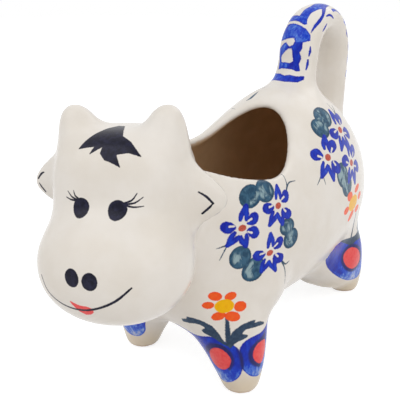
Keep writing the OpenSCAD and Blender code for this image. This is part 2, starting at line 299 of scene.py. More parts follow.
def tail_mesh():
    place, turn, size = tail_frame(np.linspace(0, 1, 150))
    t = round_turns(96)
    off, turn = TAIL_T / 2 * np.sin(t), turn[:, None]
    ring = np.stack(np.broadcast_arrays(TAIL_W / 2 * np.cos(t), off * np.cos(turn), -off * np.sin(turn)), -1)
    return skin(place[0], place[:, None, :] + size[:, None, None] * ring, place[-1])


def smin(a, b, k):
    """The lesser of two distances, rounded off over k."""
    h = np.maximum(k - np.abs(a - b), 0) / k
    return np.minimum(a, b) - h * h * k / 4


def capsule(a, b, r):
    """Distance on the grid to the space within r of the line from a to b."""
    e = np.subtract(b, a)
    rows = [(LOW[i] - a[i] + np.arange(DIMS[i]) * VOXEL).astype(np.float32) for i in range(3)]
    w = np.meshgrid(*rows, indexing="ij", sparse=True)
    t = np.clip((w[0] * e[0] + w[1] * e[1] + w[2] * e[2]) / (e @ e), 0, 1)
    return np.sqrt((w[0] - t * e[0]) ** 2 + (w[1] - t * e[1]) ** 2 + (w[2] - t * e[2]) ** 2) - r


def blur(f, times):
    for _ in range(times):
        for ax in range(3):
            g = f.copy()
            v, w = np.moveaxis(f, ax, 0), np.moveaxis(g, ax, 0)
            w[1:-1] = (v[:-2] + 2 * v[1:-1] + v[2:]) / 4
            f = g
    return f


SIDES = (("left", 1), ("right", -1))
SOLIDS = {"body_shell": field(barrel_mesh(0), 9.0),
          "head_shell": field(head_mesh([SKULL, MUZZLE, NECK], 0), 9.0)}
for _stem, _maker in (("horn", horn_mesh), ("ear", ear_mesh)):
    for _word, _side in SIDES:
        SOLIDS[f"{_stem}_{_word}"] = field(_maker(_side), 6.0)
for _stem, _end in (("leg_front", -1), ("leg_rear", 1)):
    for _word, _side in SIDES:
        SOLIDS[f"{_stem}_{_word}"] = field(leg_mesh(_side, _end), 9.0)
SOLIDS["tail_handle"] = field(tail_mesh(), 7.0)
NAMES = list(SOLIDS)

# How softly each kind of piece runs into the body
FILLET = {"head": 6.0, "horn": 3.2, "ear": 4.0, "leg": 7.0, "tail": 5.0}
# Webs of clay at the legs: from, to, radius and softness
WEBS = (((17.6, -14.7, 30.4), (17.6, -13.7, 30.4), 8.5, 5.0),
        ((17.0, 45.0, 9.5), (12.0, 36.0, 13.0), 5.2, 6.0),
        ((17.0, 41.0, 14.5), (15.5, 31.5, 20.5), 7.2, 7.0))
# Softness of the edges in the hollow and of its rim, and how far the opening's cut stays out of the head
OPENING_SOFT, HOLLOW_SOFT, RIM_SOFT, HEAD_COVER = 2.2, 1.5, 2.8, 1.0


def stem(name):
    return name.split("_")[0]


clay = SOLIDS["body_shell"].copy()
for _name in NAMES[1:]:
    clay = smin(clay, SOLIDS[_name], FILLET[stem(_name)])
for _, _side in SIDES:
    for _from, _to, _r, _soft in WEBS:
        _flip = (_side, 1, 1)
        clay = smin(clay, capsule(np.multiply(_from, _flip), np.multiply(_to, _flip), _r), _soft)
_cut = np.maximum(field(plug_mesh(), 6.0), HEAD_COVER - SOLIDS["head_shell"])
void = smin(field(barrel_mesh(WALL), 6.0), _cut, OPENING_SOFT)
void = smin(void, field(throat_mesh(), 4.0), HOLLOW_SOFT)
void = smin(void, field(head_mesh([SKULL, MUZZLE], WALL), 4.0), HOLLOW_SOFT)
clay = blur(-smin(-clay, void, RIM_SOFT), 2)
_z = (LOW[2] + np.arange(DIMS[2]) * VOXEL).astype(np.float32)
clay = np.maximum(clay, -_z[None, None, :])


def sample(f, p):
    """Trilinear value of a field at points."""
    q = (p - LOW) / VOXEL
    i = np.clip(np.floor(q).astype(int), 0, np.array(f.shape) - 2)
    w = q - i
    out = 0
    for corner in np.ndindex(2, 2, 2):
        out = out + np.where(corner, w, 1 - w).prod(1) * f[tuple((i + corner).T)]
    return out


def slope(f, p):
    h = VOXEL * 0.75
    return np.stack([sample(f, p + h * e) - sample(f, p - h * e) for e in np.eye(3)], -1) / (2 * h)


def unit(v):
    return v / np.maximum(norm(v, axis=1, keepdims=True), 1e-9)


def settle(p, times=2):
    """Moves points onto the surface of the clay."""
    for _ in range(times):
        g = slope(clay, p)
        p = p - g * (sample(clay, p) / np.maximum((g * g).sum(-1), 0.05))[:, None]
    return p


def extract():
    """The clay's surface on a coarser grid, sampled from the fine field."""
    dims = np.floor((np.array(DIMS) - 1) * VOXEL / MESH_STEP).astype(int)
    ijk0 = np.ceil(LOW / MESH_STEP).astype(int)
    axes = [(ijk0[a] + np.arange(dims[a])) * MESH_STEP for a in range(3)]
    pts = np.stack(np.meshgrid(*axes, indexing="ij"), -1).reshape(-1, 3)
    band = 3 * MESH_STEP
    g = vdb.FloatGrid()
    g.background = band
    g.transform = vdb.createLinearTransform(MESH_STEP)
    f = np.clip(sample(clay, pts), -band, band).astype(np.float32).reshape(dims)
    g.copyFromArray(f, ijk=tuple(int(v) for v in ijk0), tolerance=0.0)
    # Without adaptivity the surface is all of quads
    pts, _, quads = g.convertToPolygons(isovalue=0.0, adaptivity=0.0)
    faces = np.concatenate([quads[:, :3], quads[:, [0, 2, 3]]])
    return pts.astype(np.float64), faces.astype(np.int64)


verts, tris = extract()
verts = settle(verts, 3)
normal = unit(slope(clay, verts))
_across = np.cross(verts[tris[:, 1]] - verts[tris[:, 0]], verts[tris[:, 2]] - verts[tris[:, 0]])
if (_across * normal[tris[:, 0]]).sum() < 0:
    tris = tris[:, ::-1]

# Which node each face belongs to. Past its band a field only says that the piece is far off
FAR_OFF, NEAR_BASE = 99, -0.5
LABEL_REACH = {"horn": 5.5, "ear": 5.5, "tail": 6.5}


def label_faces(verts, tris):
    mid = verts[tris].mean(1)
    d = np.stack([sample(SOLIDS[n], mid) for n in NAMES], 1)
    body, head = d[:, 0].copy(), d[:, 1].copy()
    for j, n in enumerate(NAMES[1:], 1):
        base = head if stem(n) in ("horn", "ear") else body
        away = (base < NEAR_BASE) | (d[:, j] > LABEL_REACH.get(stem(n), FAR_OFF))
        d[:, j] = np.where(away, FAR_OFF, d[:, j])
    return d.argmin(1)


def edges_of(f):
    return np.concatenate([f[:, [0, 1]], f[:, [1, 2]], f[:, [2, 0]]])


def edge_pairs(tris):
    """The faces on the two sides of each edge."""
    e = np.sort(edges_of(tris), 1)
    f = np.tile(np.arange(len(tris)), 3)
    key = e[:, 0] * (int(tris.max()) + 1) + e[:, 1]
    order = np.argsort(key, kind="stable")
    k = key[order]
    same = np.flatnonzero(k[1:] == k[:-1])
    return f[order[same]], f[order[same + 1]]


def patches(label, a, b):
    """A number for each face, one for all of a patch of the same label."""
    comp = np.arange(len(label))
    joined = label[a] == label[b]
    a, b = a[joined], b[joined]
    while True:
        least = np.minimum(comp[a], comp[b])
        new = comp.copy()
        for place in (comp[a], comp[b], a, b):
            np.minimum.at(new, place, least)
        new = new[new]
        if (new == comp).all():
            return comp
        comp = new


def tidy_labels(label, tris):
    """Keeps the large patches of each label and gives the rest to the patches around them."""
    small_share, small_count, rounds, steps = 0.02, 4, 3, 60
    a, b = edge_pairs(tris)
    for _ in range(rounds):
        comp = patches(label, a, b)
        limit = small_share * np.bincount(label, minlength=len(NAMES))[label] + small_count
        small = np.bincount(comp, minlength=len(tris))[comp] < limit
        for _ in range(steps):
            if not small.any():
                break
            for x, y in ((a, b), (b, a)):
                edge = small[x] & ~small[y]
                label[x[edge]] = label[y[edge]]
                small[x[edge]] = False
    return label


label = tidy_labels(label_faces(verts, tris), tris)


# The hand painting is kept as distances to the edges of its shapes, in millimetres, up to FAR
PAINTS = ("ink", "cobalt", "leaf", "slate", "orange", "yellow", "red", "brick", "navy")
FAR = 3.0


def seg(p, a, b, ra, rb=None):
    """Distance to a brush stroke that goes from radius ra at a to rb at b."""
    rb = ra if rb is None else rb
    a, b = np.array(a, float), np.array(b, float)
    t = np.clip(((p - a) @ (b - a)) / max(((b - a) ** 2).sum(), 1e-9), 0, 1)
    return norm(p - a - t[:, None] * (b - a), axis=1) - (ra + (rb - ra) * t)


def stroke(p, pts, radii, steps=5):
    """A smooth stroke through points, with a radius at each."""
    pts, radii = np.array(pts, float), np.array(radii, float)
    k = np.arange(len(pts), dtype=float)
    if len(pts) > 2:
        u = np.linspace(0, len(pts) - 1, (len(pts) - 1) * steps + 1)
        pts = np.stack([spline(u, k, pts[:, 0]), spline(u, k, pts[:, 1])], 1)
        radii = np.interp(u, k, radii)
    d = np.full(len(p), 99.0)
    for i in range(len(pts) - 1):
        d = np.minimum(d, seg(p, pts[i], pts[i + 1], radii[i], radii[i + 1]))
    return d


def oval(p, c, rx, ry, turn=0.0):
    """About the distance to an oval that is turned by some degrees."""
    cos, sin = math.cos(math.radians(turn)), math.sin(math.radians(turn))
    x, y = (p - np.array(c, float)).T
    q = np.stack([x * cos + y * sin, -x * sin + y * cos], 1)
    k0 = norm(q / [rx, ry], axis=1)
    k1 = np.maximum(norm(q / [rx * rx, ry * ry], axis=1), 1e-6)
    return np.where(k0 < 1e-3, -min(rx, ry), k0 * (k0 - 1) / k1)


def rounded(*numbers):
    """A closed smooth outline through points."""
    b = pairs(*numbers)
    a, c, d = np.roll(b, 1, 0), np.roll(b, -1, 0), np.roll(b, -2, 0)
    u = (np.arange(4) / 4)[:, None, None]
    out = (b + u * (c - a) / 2 + u * u * (a - 2.5 * b + 2 * c - d / 2)
           + u ** 3 * (1.5 * (b - c) + (d - a) / 2))
    return out.transpose(1, 0, 2).reshape(-1, 2)


def polygon(p, pts):
    """Distance to an outline, less than nothing within it."""
    d = np.full(len(p), 1e9)
    odd = np.zeros(len(p), bool)
    for i in range(len(pts)):
        a, b = pts[i], pts[i - 1]
        e, w = b - a, p - a
        t = np.clip((w @ e) / (e @ e), 0, 1)
        d = np.minimum(d, ((w - t[:, None] * e) ** 2).sum(1))
        cross = (a[1] > p[:, 1]) != (b[1] > p[:, 1])
        with np.errstate(divide="ignore", invalid="ignore"):
            x = a[0] + (p[:, 1] - a[1]) * (b[0] - a[0]) / (b[1] - a[1])
        odd ^= cross & (p[:, 0] < x)
    return np.where(odd, -1, 1) * np.sqrt(d)


class Canvas:
    """Paint distances on a set of surface points."""

    def __init__(self, pts, nrm):
        self.p, self.n = pts, nrm
        self.d = {k: np.full(len(pts), FAR) for k in PAINTS}
        self.wash = np.full(len(pts), 0.8)

    def put(self, name, idx, d):
        self.d[name][idx] = np.minimum(self.d[name][idx], np.clip(d, -FAR, FAR))

    def cut(self, name, idx, d):
        self.d[name][idx] = np.maximum(self.d[name][idx], -np.clip(d, -FAR, FAR))

    def stamp(self, anchor, nrm, up=(0, 0, 1), radius=9.0, mirror=False):
        """Points round a place and their coordinates in the plane that touches the surface there."""
        a, n, u = np.array(anchor, float), np.array(nrm, float), np.array(up, float)
        if mirror:
            a, n, u = a * [-1, 1, 1], n * [-1, 1, 1], u * [-1, 1, 1]
        n = n / norm(n)
        v = u - n * (u @ n)
        v /= norm(v)
        h = np.cross(v, n) * (-1 if mirror else 1)
        q = self.p - a
        idx = np.flatnonzero(((q ** 2).sum(1) < radius ** 2) & (self.n @ n > 0.15))
        return idx, np.stack([q[idx] @ h, q[idx] @ v], 1)


PETALS = ((79, "open"), (34, "full"), (166, "full"), (229, "open"), (275, "open"), (320, "full"))
FLOWER_WIDTH, FLOWER_HEIGHT = 1.22, 1.03


def flower(c, anchor, nrm, turn, seed, mirror, size):
    """Six loose petals round a red-brown dot, three of them open strokes and three filled."""
    idx, q = c.stamp(anchor, nrm, radius=10.0 * size, mirror=mirror)
    q = q / (size * np.array([FLOWER_WIDTH, FLOWER_HEIGHT]))
    r = np.random.default_rng(seed)
    for deg, kind in PETALS:
        a = math.radians(turn + deg + r.uniform(-4, 4))
        rad, side = np.array([math.cos(a), math.sin(a)]), np.array([-math.sin(a), math.cos(a)])
        far = r.uniform(5.1, 5.6)
        if kind == "open":
            tip = rad * far + side * r.uniform(-0.3, 0.3)
            for s in (-1, 1):
                w = r.uniform(0.6, 0.7)
                root = rad * r.uniform(1.95, 2.3) + side * s * r.uniform(0.68, 0.82)
                line = stroke(q, [root, rad * 3.4 + side * s * 0.66, tip], [w * 0.75, w * 1.1, w * 0.9])
                c.put("cobalt", idx, line * size)
        else:
            bent = side * r.choice([-1, 1])
            tip = rad * (far - 1.25) + bent * 0.3
            body = stroke(q, [rad * 2.2 + bent * 0.3, rad * 3.3 + bent * 0.5, tip], [0.75, 1.5, 1.38])
            c.put("cobalt", idx, body * size)
            hole = seg(q, rad * 2.0 - bent * 0.15, rad * 3.1 + bent * 0.1, 0.2, 0.3)
            c.cut("cobalt", idx, hole * size)
            c.wash[idx[body < 0.2]] = 0.95
    c.put("brick", idx, oval(q, r.uniform(-0.12, 0.12, 2), 0.86, 1.05, 90) * size)
    c.cut("cobalt", idx, (norm(q, axis=1) - 1.22) * size)


def daisy(c, anchor, nrm, petals, heart, mirror):
    """Loose orange petals round a yellow heart."""
    idx, q = c.stamp(anchor, nrm, radius=14.0, mirror=mirror)
    for x, y, rx, ry in petals:
        c.put("orange", idx, oval(q, (x, y), rx, ry, math.degrees(math.atan2(y * 0.15, x))))
    c.put("yellow", idx, oval(q, (0, 0), *heart))


# Painted part of a leg: its heights, how near its foot and its axis, and the radius for lengths round it
LEG_SPAN, LEG_NEAR, LEG_REACH, LEG_ROUND = (0.5, 34), 20, 15.5, 9.0


def leg_plane(c, side, end, mid_deg):
    """Points of one leg, in millimetres round it and up it."""
    p = c.p * [side, 1, 1]
    z = p[:, 2]
    foot = FEET_Y + end * WHEELBASE / 2
    low, high = LEG_SPAN
    idx = np.flatnonzero((z > low) & (z < high) & (np.abs(p[:, 1] - foot + 3) < LEG_NEAR) & (p[:, 0] > 3))
    d = p[idx] - leg_axis(1, end, z[idx] / WAIST)
    keep = norm(d[:, :2], axis=1) < LEG_REACH
    idx, d = idx[keep], d[keep]
    turn = (np.degrees(np.arctan2(d[:, 1], d[:, 0])) - mid_deg + 180) % 360 - 180
    return idx, np.stack([np.radians(turn) * LEG_ROUND, z[idx]], 1)


def lobe(c, idx, q, shape, red, ring, low, high):
    """A blue petal with a red eye, dark on one side of it."""
    c.put("cobalt", idx, shape)
    inside = shape < 0.6
    c.wash[idx[inside]] = 0.9 * np.clip((q[inside, 1] - low) / (high - low), 0, 1) ** 1.2
    c.put("navy", idx, np.maximum(ring, shape + 0.3))
    c.put("red", idx, np.maximum(red, shape + 0.35))


# Outlines on the legs. Those of the front legs lie in millimetres round the leg and up it
RIGHT_LOBE = rounded(
    14.6, 21.4, 11.5, 20.6, 9.0, 20.3, 7.0, 20.4, 5.4, 20.3, 4.1, 19.8, 3.0, 18.7, 2.2, 16.9, 1.8, 14.9,
    1.7, 12.7, 1.9, 10.7, 3.0, 8.9, 4.3, 7.5, 6.0, 6.6, 8.2, 6.0, 10.2, 6.3, 11.8, 8.6, 12.9, 12.5, 13.3,
    17.0)
RIGHT_RED = rounded(
    10.6, 16.9, 9.1, 17.5, 7.5, 17.5, 6.3, 16.5, 5.7, 14.9, 5.8, 13.4, 6.5, 11.9, 8.0, 10.5, 9.6, 10.3,
    11.0, 11.8, 11.6, 14.2)
RIGHT_RING = rounded(
    11.0, 18.8, 8.3, 18.6, 6.6, 18.2, 5.0, 17.0, 4.3, 15.1, 4.4, 12.9, 5.2, 11.3, 6.9, 9.9, 8.8, 9.2, 9.5,
    13.0)
LEFT_LOBE = rounded(
    -12.5, 19.9, -9.3, 19.4, -5.7, 20.3, -3.3, 21.2, -1.6, 21.0, 0.1, 19.9, 1.3, 19.0, 2.1, 17.6, 2.4,
    15.2, 2.3, 12.0, 1.7, 9.6, 0.6, 7.7, -1.3, 6.0, -4.0, 4.7, -7.0, 4.1, -10.0, 4.6, -11.6, 7.0, -11.0,
    11.0, -10.8, 15.5)
LEFT_RED = rounded(
    -5.8, 15.3, -4.4, 16.8, -2.9, 17.6, -1.7, 17.3, -0.9, 16.1, -0.5, 14.7, -0.6, 13.3, -1.5, 11.5, -2.9,
    10.1, -4.5, 9.4, -6.0, 9.4, -7.2, 10.2, -7.6, 11.5, -7.0, 13.3)
LEFT_RING = rounded(
    -7.6, 14.8, -5.8, 17.1, -4.3, 18.6, -2.8, 19.2, -1.3, 19.0, -0.4, 18.0, 0.2, 16.7, 0.4, 14.8, 0.1,
    13.0, -0.8, 11.3, -2.2, 9.8, -3.5, 12.5, -5.5, 13.5)
LEFT_LEAF = pairs(
    -6.2, 26.1, -5.0, 26.2, -3.6, 26.0, -2.5, 25.4, -1.6, 24.7, -1.1, 23.5, -0.8, 22.4, -0.6, 21.0, -0.3,
    19.9, -0.2, 18.7, -0.7, 19.1, -1.4, 19.8, -2.2, 20.7, -3.1, 21.4, -4.1, 21.8, -4.6, 22.4, -4.0, 23.2,
    -3.4, 23.7, -3.5, 24.0, -4.2, 24.4, -5.2, 24.4, -6.6, 23.9, -8.2, 23.6, -8.0, 24.6, -6.8, 25.2)
RIGHT_LEAF = pairs(
    7.2, 24.8, 7.8, 24.5, 7.4, 24.0, 9.0, 23.5, 10.5, 22.3, 10.3, 21.8, 8.1, 22.5, 6.4, 22.9, 4.9, 23.1,
    4.1, 22.5, 3.9, 22.1, 4.4, 21.8, 5.1, 21.4, 4.8, 20.8, 4.0, 20.5, 2.7, 20.1, 1.6, 19.4, 0.9, 18.4,
    0.3, 17.9, 0.1, 18.4, 0.6, 20.1, 1.3, 22.0, 1.9, 23.0, 2.9, 23.9, 4.4, 24.7, 6.1, 24.9)
REAR_LOBE = rounded(
    -10.7, 10.3, -17.0, 9.9, -18.6, 8.3, -17.2, 4.9, -15.4, 1.9, -12.8, -0.9, -9.7, -3.6, -6.5, -5.9,
    -3.2, -7.8, 0.1, -9.2, 3.6, -9.9, 5.9, -9.2, 7.2, -6.6, 7.6, -3.0, 7.6, 1.0, 7.2, 5.2, 5.0, 7.3, 1.0,
    7.9, -4.0, 8.4)
REAR_RED = rounded(
    -0.4, 4.7, 2.5, 3.1, 4.2, 0.5, 4.4, -1.8, 2.9, -3.4, 0.1, -3.7, -2.3, -2.9, -4.6, -1.1, -6.1, 1.2,
    -6.2, 3.3, -4.6, 4.5, -2.7, 5.0)
REAR_LEAF = rounded(
    -10.8, 10.5, -7.1, 9.8, -3.0, 9.0, 0.1, 8.8, 2.8, 9.4, 5.2, 10.8, 6.8, 12.4, 7.4, 10.8, 7.2, 7.6, 5.6,
    6.4, 1.2, 6.5, -1.3, 5.6, -3.4, 6.4, -5.7, 7.7)
# Stems: points and widths
SEAM = pairs(2.0, 18.4, 2.3, 15.0, 2.2, 12.0, 2.0, 10.0), (0.3, 0.5, 0.5, 0.3)
FRONT_STEM = pairs(1.9, 27.9, 1.7, 26.2, 1.3, 24.3, 0.9, 22.3, 0.2, 19.1), (0.2, 0.36, 0.48, 0.55, 0.5)
REAR_STEM = pairs(-1.9, 9.0, -1.7, 12.6, -2.2, 18.0, -2.7, 20.7), (0.5, 0.42, 0.36, 0.28)
REAR_BLADE = pairs(3.2, 10.9, 4.9, 13.4, 6.6, 16.6), (0.8, 0.95, 0.2)
REAR_DARK = pairs(-15.2, 7.4, -14.0, 3.2, -10.4, -0.6, -6.6, -3.6), (0.6, 1.3, 1.2, 0.5)
FRONT_MIDDLE, FAR_FRONT_DROP = -57.0, 1.8
REAR_SPOT, REAR_WAY, REAR_INNER = (24.8, 44.2, 17.0), (0.80, -0.58, 0.12), 6


def front_leg_paint(c, side):
    idx, q = leg_plane(c, side, -1, FRONT_MIDDLE)
    q = q - [0, FAR_FRONT_DROP if side < 0 else 0]
    right, left = polygon(q, RIGHT_LOBE), polygon(q, LEFT_LOBE)
    lobe(c, idx, q, right, polygon(q, RIGHT_RED), polygon(q, RIGHT_RING), 5.5, 14.0)
    lobe(c, idx, q, left, polygon(q, LEFT_RED), polygon(q, LEFT_RING), 3.5, 12.5)
    c.put("navy", idx, np.maximum(stroke(q, *SEAM), np.minimum(left, right) + 0.1))
    for shape in (stroke(q, *FRONT_STEM), polygon(q, LEFT_LEAF), polygon(q, RIGHT_LEAF)):
        c.put("slate", idx, shape)


def rear_leg_paint(c, side):
    idx, q = c.stamp(REAR_SPOT, REAR_WAY, radius=22.0, mirror=side < 0)
    outer = c.p[idx, 0] * side > REAR_INNER
    idx, q = idx[outer], q[outer]
    shape, red = polygon(q, REAR_LOBE), polygon(q, REAR_RED)
    if side < 0:
        # The far one doesn't show, so it is made as round as such a lobe is painted
        shape = np.maximum(shape, oval(q, (-3.6, -0.5), 11.8, 10.4))
    lobe(c, idx, q, shape, red, red - 1.25, -10.5, 1.0)
    c.wash[idx[stroke(q, *REAR_DARK) < 0]] = 1.15
    for shape in (polygon(q, REAR_LEAF), stroke(q, *REAR_STEM), stroke(q, *REAR_BLADE)):
        c.put("slate", idx, shape)


# Place, way out, turn, seed and size
FLOWERS = (
    ((23.2, -11.6, 53.9), (0.95, -0.13, 0.3), 0, 11, 1.0),
    ((20.1, -25.2, 51.1), (0.9, -0.4, 0.15), -2, 12, 1.0),
    ((24.0, -16.6, 41.7), (0.96, -0.25, 0.02), 4, 13, 0.97),
    ((20.1, 34.1, 66.6), (0.85, 0.09, 0.51), 5, 21, 1.28),
    ((23.0, 19.4, 60.8), (0.88, -0.09, 0.46), -4, 22, 1.28),
    ((24.6, 35.5, 55.8), (0.95, 0.11, 0.29), 2, 23, 1.28))
# Place, way out, half sizes and turn
LEAVES = (
    ((19.6, -20.8, 58.5), (0.88, -0.3, 0.36), 3.8, 3.1, 15),
    ((21.1, -15.4, 58.9), (0.92, -0.17, 0.37), 3.7, 3.2, -15),
    ((25.1, -9.3, 47.4), (0.98, -0.14, 0.16), 3.3, 2.5, 0),
    ((25.7, -8.0, 43.6), (0.99, -0.16, 0.06), 3.4, 2.9, 15),
    ((20.6, -26.3, 43.0), (0.91, -0.41, 0.07), 3.5, 3.3, -25),
    ((22.2, -22.4, 38.7), (0.94, -0.33, 0), 3.9, 3.3, 30),
    ((16.7, 27.5, 71.5), (0.75, -0.08, 0.65), 4.5, 3.8, 10),
    ((18.3, 22.8, 68.8), (0.77, -0.14, 0.63), 4.1, 3.6, -10),
    ((25.7, 25.9, 53.9), (0.97, 0.03, 0.26), 4.3, 4.1, 10),
    ((26.6, 28.6, 50.1), (0.98, 0.07, 0.17), 4.4, 4.0, 0))
# Place, way out and two strokes
TENDRILS = (
    ((19.0, -28.5, 47.6), (0.85, -0.5, 0.18), pairs(1.6, 1.4, -1.2, -0.6, -3.4, -4.2),
     pairs(-0.4, 0.0, -2.0, -0.5, -4.2, -0.9)),
    ((22.6, -6.0, 56.6), (0.93, -0.04, 0.38), pairs(-1.4, -1.2, 1.0, 1.6, 1.9, 5.0),
     pairs(0.0, 0.4, 2.4, 1.8, 6.0, 1.6)),
    ((25.0, -11.5, 36.8), (0.97, -0.22, -0.08), pairs(-1.4, 2.4, 0.4, -1.6, 0.3, -5.8),
     pairs(-0.6, 1.2, 1.0, -0.2, 3.0, 0.0)),
    ((24.1, 12.8, 56.8), (0.9, -0.16, 0.4), pairs(1.6, 1.6, -1.0, -0.9, -3.2, -2.4),
     pairs(1.6, 1.0, 1.0, -1.0, 1.2, -3.2)),
    ((17.6, 37.0, 71.0), (0.8, 0.2, 0.55), pairs(0, 0, 0.6, 2.0, 0.2, 5.0), pairs(0, 0, 2.0, 1.6, 4.0, 3.4)))
# Above the lobes of the legs: place, way out, petals with their half sizes, and the heart's half sizes
DAISIES = (
    ((18.9, -31.1, 30.1), (0.68, -0.67, 0.3),
     ((-4.4, 0.5, 1.65, 1.0), (-2.5, 2.9, 1.95, 1.25), (1.8, 2.5, 1.75, 1.15), (4.5, -0.6, 1.85, 1.4),
      (2.1, -3.0, 2.2, 1.35), (-1.7, -2.6, 2.0, 1.15)), (2.75, 1.85)),
    ((27.0, 34.5, 42.1), (0.99, 0.11, 0.05),
     ((-3.6, 3.3, 2.7, 1.6), (-7.0, -0.6, 2.4, 1.25), (-1.7, -4.1, 3.0, 1.3), (5.6, -3.8, 2.9, 1.3),
      (8.2, 0.3, 2.4, 1.3), (4.4, 4.0, 2.9, 1.2)), (4.8, 2.65)))
# The strokes of the far side that come up over the back: where, and paint, points and widths of each
BACK_SPOT, BACK_WAY = (-5.8, 19.5, 76.6), (-0.3, -0.3, 0.9)
BACK_MARKS = (("leaf", pairs(-1.0, -2.0, 0.1, -0.6, 0.4, 1.8, 0.7, 4.6), (0.15, 0.7, 0.6, 0.12)),
              ("slate", pairs(1.0, 6.3, 1.4, 8.3, 1.7, 10.6), (0.06, 0.14, 0.02)),
              ("slate", pairs(-6.6, -3.8, -4.8, -5.2, -3.2, -6.4), (0.04, 0.12, 0.04)))


def flank(c, mirror):
    for place, nrm, turn, seed, size in FLOWERS:
        flower(c, place, nrm, turn, seed, mirror, size)
    for place, nrm, rx, ry, turn in LEAVES:
        idx, q = c.stamp(place, nrm, radius=7.0, mirror=mirror)
        c.put("leaf", idx, oval(q, (0, 0), rx, ry, turn))
    for place, nrm, *ways in TENDRILS:
        idx, q = c.stamp(place, nrm, radius=12.0, mirror=mirror)
        for pts in ways:
            c.put("leaf", idx, stroke(q, pts, [0.32, 0.22, 0.12]))
    for place, nrm, petals, heart in DAISIES:
        daisy(c, place, nrm, petals, heart, mirror)
    if mirror:
        idx, q = c.stamp(BACK_SPOT, BACK_WAY, up=(0, 1, 0), radius=14)
        for name, pts, radii in BACK_MARKS:
            c.put(name, idx, stroke(q, pts, radii))


# The face from the front, in the head's frame: eyes and nostrils by middle, half sizes and turn
FACE_OVALS = (((-4.55, 65.0), 2.08, 1.98, 8), ((4.15, 64.95), 2.15, 1.95, -5),
              ((-3.3, 52.75), 1.72, 2.0, 12), ((0.9, 52.35), 1.82, 1.95, -8))
LASHES = (pairs(-5.5, 66.3, -7.2, 66.3, -8.7, 66.7), pairs(-5.4, 66.4, -7.0, 66.9, -8.2, 68.1),
          pairs(-5.2, 66.6, -6.2, 67.3, -6.6, 68.4), pairs(5.5, 66.2, 7.2, 66.9, 8.3, 68.3),
          pairs(5.6, 66.0, 7.8, 66.3, 9.5, 67.4), pairs(5.7, 65.8, 7.6, 65.4, 9.6, 65.5))
EAR_LINES = (pairs(-21.0, 68.7, -22.0, 68.2, -23.2, 66.9), pairs(-23.0, 65.7, -22.4, 64.9, -21.4, 63.7),
             pairs(18.7, 65.8, 20.4, 64.5, 21.7, 62.9), pairs(21.7, 62.9, 20.8, 61.9, 19.2, 60.5))
SMILE = pairs(-12.9, 50.9, -11.0, 47.4, -6.6, 45.35, -1.9, 45.1, 2.4, 46.3, 6.3, 48.3, 9.5, 51.0)
TONGUE = pairs(
    -4.4, 46.9, -3.2, 46.4, -1.9, 46.1, -0.6, 46.1, 0.5, 45.7, 0.4, 44.9, -0.4, 44.2, -1.5, 43.95, -2.7,
    44.6, -3.5, 45.6)
FORELOCK = pairs(
    -1.9, 21.3, -0.5, 23.4, 1.0, 23.2, 2.2, 20.0, 3.3, 17.0, 5.8, 15.4, 8.7, 12.4, 6.0, 12.8, 3.4, 12.2,
    3.0, 12.9, 4.5, 9.7, 2.4, 10.6, 0.9, 11.0, -0.3, 12.3, -0.1, 13.9, -2.8, 12.2, -2.0, 13.9, -5.9, 13.4,
    -4.3, 16.4, -2.8, 19.2)
BROW_RADIUS = 15


def face(c):
    h = to_head(c.p)
    x, y, z = h.T
    ahead = (c.n @ HEAD_R)[:, 1] < -0.02
    front = np.flatnonzero(ahead & (y < -7) & (z > 38) & (z < 84) & (np.abs(x) < 26))
    q = h[front][:, [0, 2]]
    for mid, rx, ry, turn in FACE_OVALS:
        c.put("ink", front, oval(q, mid, rx, ry, turn))
    for pts in LASHES:
        c.put("ink", front, stroke(q, pts, [0.24, 0.19, 0.1]))
    for pts in EAR_LINES:
        c.put("ink", front, stroke(q, pts, [0.16, 0.3, 0.26]))
    c.put("ink", front, stroke(q, SMILE, [0.16, 0.2, 0.24, 0.28, 0.3, 0.3, 0.2]))
    c.put("red", front, polygon(q, TONGUE) - 0.25)
    # The forelock is laid round the brow
    top = np.flatnonzero((z > 70) & (y > -26) & (y < 2) & (np.abs(x) < 12))
    round_brow = BROW_RADIUS * np.arctan2(z[top] - SKULL_Z, -(y[top] + HEAD_REACH))
    c.put("ink", top, polygon(np.stack([x[top], round_brow], 1), FORELOCK) - 0.12)


# Outlines on the tail, in millimetres round it and along it. They run from each end up to its top
TAIL_TOP, TAIL_NEAR = 41.0, 9.5
TAIL_COLLAR = pairs(
    -9.2, 12.3, -9.0, 14.7, -5.5, 14.6, -2.9, 14.5, -1.0, 13.9, 0.3, 14.3, 2.6, 14.0, 4.9, 14.5, 4.7,
    13.2, 2.9, 11.9, 0.0, 11.6, -3.0, 12.0, -5.8, 11.8)
TAIL_FRAME = pairs(
    -4.7, 15.9, -2.9, 16.3, 0.9, 16.1, 2.4, 15.6, 3.4, 15.9, 2.7, 18.2, 3.1, 20.0, 2.9, 21.4, 2.4, 22.4,
    3.0, 23.5, 2.8, 24.9, 5.0, 25.7, 4.6, 27.2, 2.7, 28.5, 0.4, 29.3, -1.9, 29.9, -4.7, 30.1, -5.6, 28.5,
    -6.8, 25.9, -6.0, 23.4, -5.2, 19.5)
TAIL_HOLE = pairs(
    -3.9, 21.3, -2.4, 22.6, -1.4, 23.2, -0.2, 23.3, 0.3, 21.5, 0.6, 19.0, -0.3, 18.2, -2.1, 18.5, -3.6,
    18.4, -4.1, 19.8)
TAIL_SLOT = pairs(
    -8.0, 25.3, -4.6, 25.4, -2.0, 25.7, -0.1, 25.8, 0.4, 25.1, -0.1, 24.1, -0.9, 23.8, -1.7, 24.1, -2.6,
    24.9, -4.0, 24.3, -5.6, 23.5, -8.0, 23.0)
